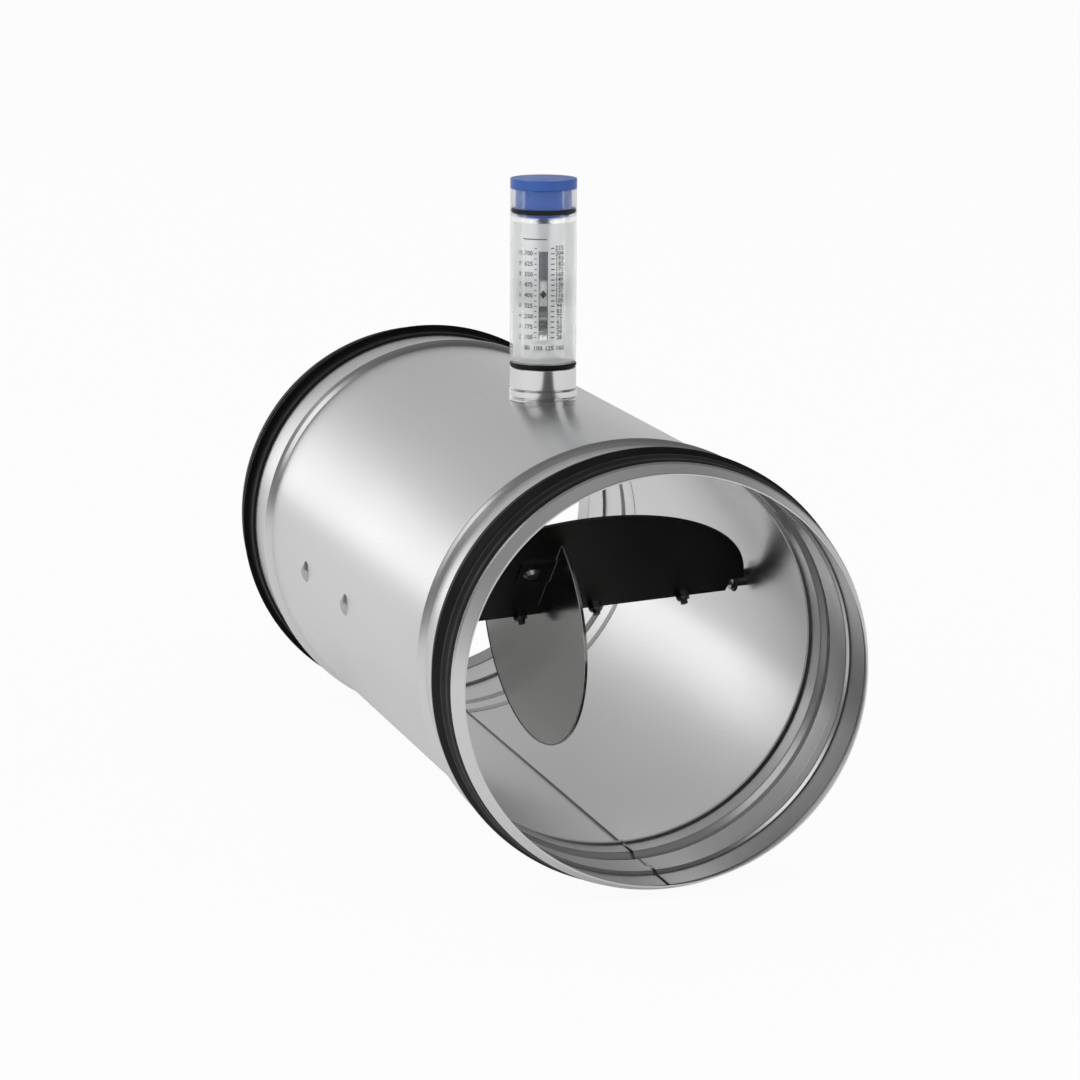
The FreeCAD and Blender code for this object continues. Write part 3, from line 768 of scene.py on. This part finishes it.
ROWS = 9
FIRST_ROW = 0.2
row_gap = (window_high - window_low) / (ROWS - 0.6)
lines, numbers = [], []
for i in range(ROWS * 2):
    height = window_low + row_gap * (FIRST_ROW + i / 2)
    lines.append((3.0 * MM, 4.4 * MM, height - 0.22 * MM, height + 0.22 * MM))
    lines.append((-3.6 * MM, -2.6 * MM, height - 0.16 * MM, height + 0.16 * MM))
    numbers.append((str(28 + 11 * i), 6.6 * MM, height))
for i in range(ROWS):
    height = window_low + row_gap * (FIRST_ROW + i)
    numbers.append((str(100 + 75 * i), -6.0 * MM, height))
    numbers.append((str(2 + i), -10.0 * MM, height))
for i, text in enumerate(("80", "100", "125", "160")):
    numbers.append((text, (-6.6 + 4.5 * i) * MM, label_low.z + 2.6 * MM))
lines.append((-8.5 * MM, 1.5 * MM, label_top - 6.4 * MM, label_top - 6.0 * MM))
for side in (-1, 1):
    edge = side * (WINDOW_HALF + 0.12 * MM)
    lines.append((edge - 0.12 * MM, edge + 0.12 * MM, window_low, window_high))
bars("scale_lines", lines)
number_print("scale_numbers", numbers, 2.5 * MM)
print("lines", len(lines), "numbers", len(numbers))

# %% [markdown]
# ## The pointer nut
# The nut is a white disc with a neck for the spring. Its nose stands in the window, and a black
# diamond on the nose shows the set airflow.

# %% Turn the nut and mark it
DISC_HEIGHT = 9.5 * MM
nut_low, nut_high = box("pointer_nut")
disc_foot = nut_high.z - DISC_HEIGHT
mark_height = nut_high.z - DISC_HEIGHT / 2
turned("white_disc", "pointer_nut", [
    (3.05, nut_low.z), (4.0, nut_low.z), (4.0, disc_foot), (10.8, disc_foot), (10.8, nut_high.z),
    (3.05, nut_high.z)], white, "pointer", 0.3)


def diamond(name, reach, half, tall, finish):
    """A flat diamond in front of the nut, turned towards the camera."""
    out = Vector((math.sin(CAMERA_TURN), -math.cos(CAMERA_TURN), 0))
    side = Vector((math.cos(CAMERA_TURN), math.sin(CAMERA_TURN), 0))
    middle = Vector((0, tube_y, mark_height)) + out * reach
    up = Vector((0, 0, 1))
    corners = [middle - side * half, middle - up * tall, middle + side * half, middle + up * tall]
    deep = [corner - out * MM for corner in corners]
    faces = [(0, 1, 2, 3)] + [(i, (i + 1) % 4, (i + 1) % 4 + 4, i + 4) for i in range(4)]
    add_piece(name, corners + deep, faces, finish, "pointer")


diamond("pointer_nose", 11.4 * MM, 1.4 * MM, 4.6 * MM, white)
diamond("pointer_mark", 11.45 * MM, 1.3 * MM, 1.7 * MM, ink)
print("pointer at height", round(mark_height, 4))

# %% [markdown]
# ## Floor, backdrop and light
# The product stands on pale ground in front of white. Metal shows whatever stands round it, so the
# surroundings matter more than the lamps: behind the duct there is a bright band at eye height that
# fades upwards and downwards, and in front of it the studio is dim. The camera itself sees white.

# %% Build the studio


def stage_sheet(name, corners, material):
    """A flat four-cornered sheet that belongs to the studio."""
    mesh = bpy.data.meshes.new(name)
    mesh.from_pydata([tuple(c) for c in corners], [], [tuple(range(len(corners)))])
    mesh.materials.append(material)
    thing = bpy.data.objects.new(name, mesh)
    bpy.context.scene.collection.objects.link(thing)


def math_node(tree, operation, first, second):
    """One sum, difference, product or maximum of two values; each is a socket or a number."""
    node = tree.nodes.new("ShaderNodeMath")
    node.operation = operation
    for slot, value in ((0, first), (1, second)):
        if isinstance(value, (int, float)):
            node.inputs[slot].default_value = value
        else:
            tree.links.new(value, node.inputs[slot])
    return node.outputs[0]


def curve_of(tree, source, stops):
    """A smooth curve from a direction, between -1 and 1, to the grey given by (value, grey) stops."""
    share = spread(tree, source, 0.0, 1.0, -1.0, 1.0)
    ramp = tree.nodes.new("ShaderNodeValToRGB")
    ramp.color_ramp.interpolation = "B_SPLINE"
    elements = ramp.color_ramp.elements
    while len(elements) < len(stops):
        elements.new(0.5)
    for element, (value, grey) in zip(elements, stops):
        element.position = (value + 1.0) / 2.0
        element.color = (grey, grey, grey, 1)
    tree.links.new(share, ramp.inputs["Fac"])
    return ramp.outputs["Color"]


def pale_ground(name, colour, seen, mirrored):
    """Ground that the camera sees almost white and that still keeps the object's shadow."""
    material, tree, shader = new_finish(name, colour, rough=0.9)
    path = tree.nodes.new("ShaderNodeLightPath")
    glow = tree.nodes.new("ShaderNodeEmission")
    mix = tree.nodes.new("ShaderNodeMixShader")
    direct = math_node(tree, "MAXIMUM", path.outputs["Is Camera Ray"], path.outputs["Is Transmission Ray"])
    share = math_node(tree, "MAXIMUM", math_node(tree, "MULTIPLY", direct, seen),
                      math_node(tree, "MULTIPLY", path.outputs["Is Glossy Ray"], mirrored))
    tree.links.new(share, mix.inputs["Fac"])
    tree.links.new(shader.outputs["BSDF"], mix.inputs[1])
    tree.links.new(glow.outputs["Emission"], mix.inputs[2])
    tree.links.new(mix.outputs["Shader"], tree.nodes["Material Output"].inputs["Surface"])
    return material


GROUND_REACH = 6.0
GROUND_SEEN = 0.95
GROUND_MIRRORED = 0.3
ground_z = -box("inlet_seal")[1].z
ground_corners = [(x * GROUND_REACH, y * GROUND_REACH, ground_z)
                  for x, y in ((-1, -1), (1, -1), (1, 1), (-1, 1))]
stage_sheet("floor", ground_corners,
            pale_ground("pale_ground", (0.8, 0.8, 0.8), GROUND_SEEN, GROUND_MIRRORED))
print("ground at", round(ground_z, 4))

# %% [markdown]
# The world is one node tree. Its direction gives three curves, over the height, from the front to the
# back and from the left to the right. Their product is what metal reflects: bright behind the duct at
# eye level, dimmer above and to the right, dark in front. Diffuse surfaces get an even level.

# %% Light the studio
world = bpy.data.worlds.new("studio")
bpy.context.scene.world = world
world.use_nodes = True
sky = world.node_tree
sky_path = sky.nodes.new("ShaderNodeLightPath")
direction = sky.nodes.new("ShaderNodeTexCoord")
parts = sky.nodes.new("ShaderNodeSeparateXYZ")
sky.links.new(direction.outputs["Generated"], parts.inputs["Vector"])
by_height = curve_of(sky, parts.outputs["Z"],
                     [(-1.0, 0.25), (-0.45, 0.6), (-0.2, 0.88), (-0.06, 1.0), (0.03, 1.0),
                      (0.12, 0.8), (0.25, 0.6), (0.45, 0.42), (1.0, 0.35)])
by_depth = curve_of(sky, parts.outputs["Y"],
                    [(-1.0, 0.12), (-0.4, 0.16), (0.2, 0.35), (0.6, 0.8), (0.85, 1.0), (1.0, 1.0)])
by_side = curve_of(sky, parts.outputs["X"],
                   [(-1.0, 0.6), (-0.5, 0.9), (-0.2, 1.0), (0.0, 0.95), (0.3, 0.75), (1.0, 0.5)])
mirror_level = math_node(sky, "MULTIPLY", math_node(sky, "MULTIPLY", by_height, by_depth), by_side)
EVEN_LEVEL = 0.6
glossy = math_node(sky, "MULTIPLY", sky_path.outputs["Is Glossy Ray"],
                   math_node(sky, "SUBTRACT", mirror_level, EVEN_LEVEL))
seen_directly = math_node(sky, "MAXIMUM", sky_path.outputs["Is Camera Ray"],
                          sky_path.outputs["Is Transmission Ray"])
level = math_node(sky, "MAXIMUM", seen_directly, math_node(sky, "ADD", glossy, EVEN_LEVEL))
sky.links.new(level, sky.nodes["Background"].inputs["Strength"])
sky.nodes["Background"].inputs["Color"].default_value = (1, 1, 1, 1)


def soft_lamp(name, place, aim, size, power):
    """A square soft box that faces a point."""
    data = bpy.data.lights.new(name, "AREA")
    data.shape = "RECTANGLE"
    data.size, data.size_y = size
    data.energy = power
    lamp = bpy.data.objects.new(name, data)
    lamp.location = place
    lamp.rotation_euler = (Vector(aim) - Vector(place)).to_track_quat("-Z", "Y").to_euler()
    bpy.context.scene.collection.objects.link(lamp)


soft_lamp("key_lamp", (-1.6, -0.6, 1.4), (0, tube_y, 0), (1.8, 1.4), 9)
soft_lamp("fill_lamp", (1.5, -1.4, 0.9), (0, tube_y, 0), (1.2, 1.2), 3)
soft_lamp("side_strip", (-0.75, 2.6, 0.05), (0, tube_y, 0), (1.3, 1.0), 1.5)
print("studio ready")

# %% [markdown]
# ## Finish
# The view transform is set to Standard, so that colours come out as they are written.

# %% Finish
bpy.context.scene.view_settings.view_transform = "Standard"
